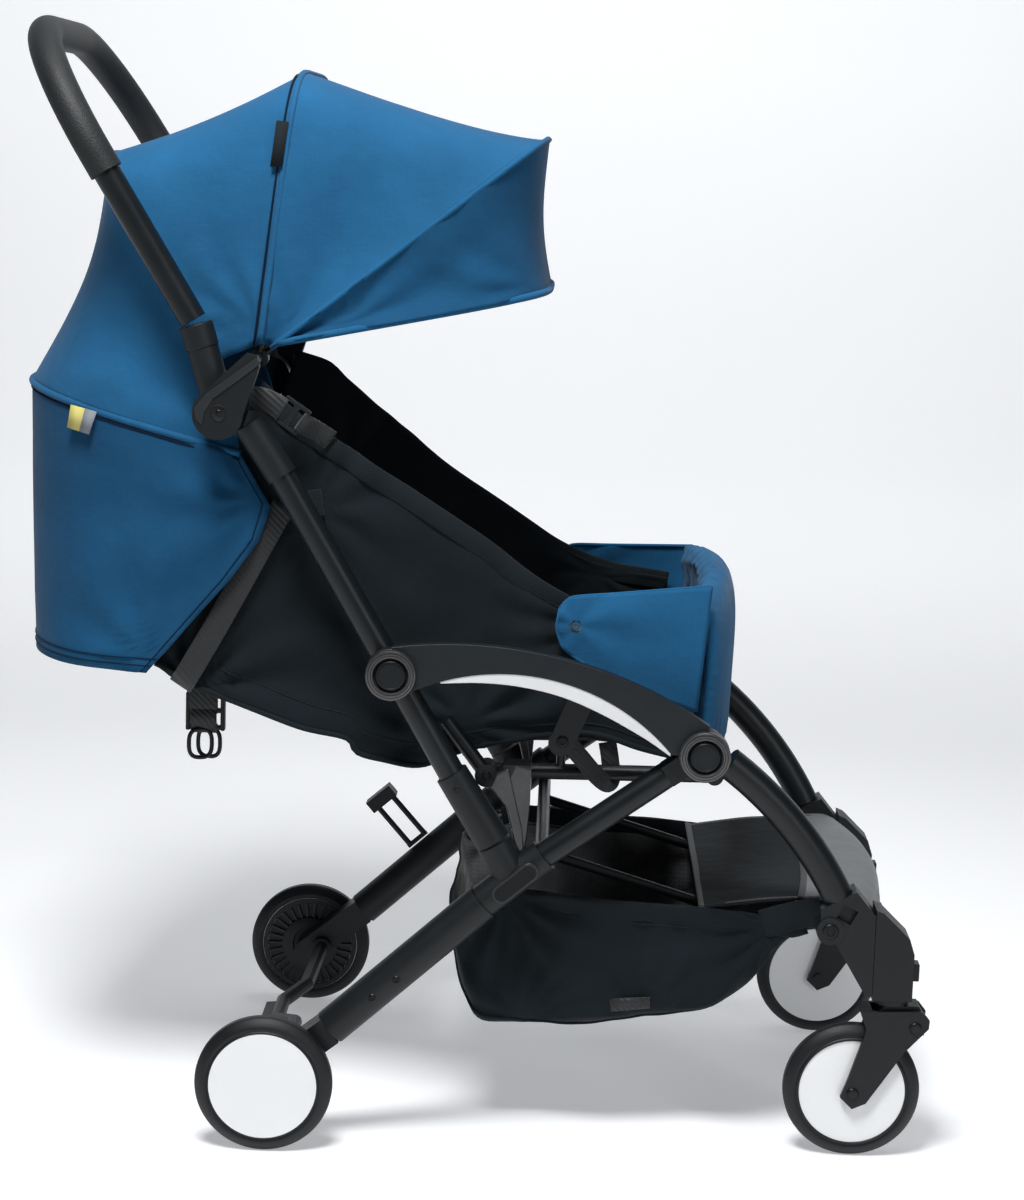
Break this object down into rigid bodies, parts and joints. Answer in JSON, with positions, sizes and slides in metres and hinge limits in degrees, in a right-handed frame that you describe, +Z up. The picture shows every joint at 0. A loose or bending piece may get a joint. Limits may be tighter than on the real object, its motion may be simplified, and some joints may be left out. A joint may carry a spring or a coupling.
{
  "type": "baby stroller",
  "caption": "Folding baby stroller with a tube frame, push handle, hood, reclining seat, raised leg rest, basket and swivel front wheels.",
  "frame": {"origin": "centre of the bounding box's bottom face, on the floor under the wheels", "axes": "+X forward, towards the swivel wheels; +Y to the left; +Z up; Y is the mirror direction"},
  "size_m": [0.892, 0.47, 1.0488],
  "materials": {
    "tube_black": "matte powder coat",
    "arch_charcoal": "fine grain",
    "moulded_black": "fine grain",
    "button_red": "satin",
    "cap_grey": "satin, ringed",
    "pin_steel": "brushed",
    "cloth_black": "woven",
    "webbing_black": "ribbed webbing",
    "cloth_blue": "fine woven",
    "grip_black": "grained foam",
    "tyre": "matte",
    "cover_white": "satin"
  },
  "bodies": {
    "base": {"rear_tube_right": "tube_black", "rear_tube_left": "tube_black", "rear_leg_right": "moulded_black", "rear_leg_left": "moulded_black", "arch_right": "arch_charcoal", "arch_left": "arch_charcoal", "hinge_caps": "cap_grey", "hinge_pins": "pin_steel", "seat_rails": "tube_black", "seat_cushion": "cloth_black", "seat_sides": "cloth_black", "basket": "cloth_black", "basket_rods": "tube_black", "lap_straps": "webbing_black", "harness_buckle": "moulded_black"},
    "buckle_button": {"buckle_button": "button_red"},
    "brake_bar": {"brake_bar": "moulded_black"},
    "lock_loop": {"lock_loop": "moulded_black"},
    "back_frame": {"strut_right": "tube_black", "strut_left": "tube_black", "strut_feet": "moulded_black", "hub_right": "moulded_black", "hub_left": "moulded_black", "hood_back": "cloth_blue", "recline_straps": "webbing_black"},
    "handle": {"handle_tubes": "tube_black", "handle_grip": "grip_black", "handle_elbow_right": "moulded_black", "handle_elbow_left": "moulded_black"},
    "hood_top": {"top_bow": "tube_black", "hood_rear": "cloth_blue"},
    "hood_front": {"front_bow": "tube_black", "hood_roof": "cloth_blue"},
    "hood_visor": {"hood_visor": "cloth_blue"},
    "back_pivot": {"recline_brackets": "tube_black"},
    "backrest": {"backrest": "cloth_black", "shoulder_straps": "webbing_black", "recline_buckle": "moulded_black"},
    "leg_rest": {"leg_rest": "cloth_blue", "leg_rest_flaps": "cloth_blue"},
    "front_frame": {"front_leg_right": "tube_black", "front_leg_left": "tube_black", "leg_sockets": "moulded_black", "caster_housings": "moulded_black", "footrest_bar": "tube_black", "footrest_cover": "cloth_black"},
    "caster_right": {"caster_head_right": "moulded_black"},
    "caster_button_right": {"caster_button_right": "moulded_black"},
    "fork_right": {"fork_right": "moulded_black"},
    "rear_wheel_right": {"rear_tyre_right": "tyre", "rear_hub_right": "cover_white"},
    "front_wheel_right": {"front_tyre_right": "tyre", "front_hub_right": "cover_white"},
    "caster_left": {"caster_head_left": "moulded_black"},
    "caster_button_left": {"caster_button_left": "moulded_black"},
    "fork_left": {"fork_left": "moulded_black"},
    "rear_wheel_left": {"rear_tyre_left": "tyre", "rear_hub_left": "cover_white"},
    "front_wheel_left": {"front_tyre_left": "tyre", "front_hub_left": "cover_white"}
  },
  "joints": [
    {"name": "frame_fold", "type": "hinge", "parent": "base", "child": "back_frame", "pos_m": [-0.069, 0, 0.4605], "axis": [0, 1, 0], "range_deg": [0, 90], "deforming": ["seat_sides", "lap_straps"]},
    {"name": "back_follow", "type": "hinge", "parent": "base", "child": "back_pivot", "pos_m": [-0.015, 0, 0.378], "axis": [0, 1, 0], "range_deg": [0, 90]},
    {"name": "recline", "type": "hinge", "parent": "back_pivot", "child": "backrest", "pos_m": [-0.015, 0, 0.378], "axis": [0, 1, 0], "range_deg": [0, 30]},
    {"name": "front_fold", "type": "hinge", "parent": "base", "child": "front_frame", "pos_m": [0.2216, 0, 0.3942], "axis": [0, 1, 0], "range_deg": [0, 45], "deforming": ["basket", "footrest_cover"]},
    {"name": "handle_fold", "type": "hinge", "parent": "back_frame", "child": "handle", "pos_m": [-0.2314, 0, 0.6943], "axis": [0, -1, 0], "range_deg": [0, 130]},
    {"name": "hood_top_fold", "type": "hinge", "parent": "back_frame", "child": "hood_top", "pos_m": [-0.202, 0, 0.741], "axis": [0, -1, 0], "range_deg": [0, 35], "deforming": ["hood_rear"]},
    {"name": "hood_front_fold", "type": "hinge", "parent": "hood_top", "child": "hood_front", "pos_m": [-0.202, 0, 0.741], "axis": [0, -1, 0], "range_deg": [0, 34], "deforming": ["hood_roof"]},
    {"name": "visor_fold", "type": "hinge", "parent": "hood_front", "child": "hood_visor", "pos_m": [-0.202, 0, 0.741], "axis": [0, -1, 0], "range_deg": [0, 16], "deforming": ["hood_visor"]},
    {"name": "leg_rest_fold", "type": "hinge", "parent": "base", "child": "leg_rest", "pos_m": [0.247, 0, 0.372], "axis": [0, 1, 0], "range_deg": [0, 95]},
    {"name": "brake", "type": "hinge", "parent": "base", "child": "brake_bar", "pos_m": [-0.164, 0, 0.072], "axis": [0, -1, 0], "range_deg": [0, 15]},
    {"name": "lock_loop_swing", "type": "hinge", "parent": "base", "child": "lock_loop", "pos_m": [-0.0706, 0.197, 0.1869], "axis": [0.749, 0, 0.6626], "range_deg": [0, 80]},
    {"name": "buckle_press", "type": "slide", "parent": "base", "child": "buckle_button", "axis": [0, 0, -1], "range_m": [0, 0.003], "stiffness_N_per_m": 600, "springref_m": -0.001},
    {"name": "swivel_right", "type": "hinge", "parent": "front_frame", "child": "caster_right", "pos_m": [0.41, -0.1785, 0.15], "axis": [0, 0, 1], "continuous": true},
    {"name": "suspension_right", "type": "hinge", "parent": "caster_right", "child": "fork_right", "pos_m": [0.433, -0.1785, 0.132], "axis": [0, 1, 0], "range_deg": [0, 5], "stiffness_Nm_per_rad": 30, "springref_deg": -6.88},
    {"name": "front_roll_right", "type": "hinge", "parent": "fork_right", "child": "front_wheel_right", "pos_m": [0.377, -0.1785, 0.065], "axis": [0, 1, 0], "continuous": true},
    {"name": "rear_roll_right", "type": "hinge", "parent": "base", "child": "rear_wheel_right", "pos_m": [-0.18, -0.224, 0.065], "axis": [0, 1, 0], "continuous": true},
    {"name": "caster_lock_right", "type": "slide", "parent": "front_frame", "child": "caster_button_right", "axis": [-1, 0, 0], "range_m": [0, 0.003], "stiffness_N_per_m": 800, "springref_m": -0.001},
    {"name": "swivel_left", "type": "hinge", "parent": "front_frame", "child": "caster_left", "pos_m": [0.41, 0.1785, 0.15], "axis": [0, 0, 1], "continuous": true},
    {"name": "suspension_left", "type": "hinge", "parent": "caster_left", "child": "fork_left", "pos_m": [0.433, 0.1785, 0.132], "axis": [0, 1, 0], "range_deg": [0, 5], "stiffness_Nm_per_rad": 30, "springref_deg": -6.88},
    {"name": "front_roll_left", "type": "hinge", "parent": "fork_left", "child": "front_wheel_left", "pos_m": [0.377, 0.1785, 0.065], "axis": [0, 1, 0], "continuous": true},
    {"name": "rear_roll_left", "type": "hinge", "parent": "base", "child": "rear_wheel_left", "pos_m": [-0.18, 0.224, 0.065], "axis": [0, 1, 0], "continuous": true},
    {"name": "caster_lock_left", "type": "slide", "parent": "front_frame", "child": "caster_button_left", "axis": [-1, 0, 0], "range_m": [0, 0.003], "stiffness_N_per_m": 800, "springref_m": -0.001}
  ],
  "couplings": [
    {"joint": "back_follow", "follows": "frame_fold", "ratio": 1},
    {"joint": "front_fold", "follows": "frame_fold", "ratio": 0.5}
  ]
}
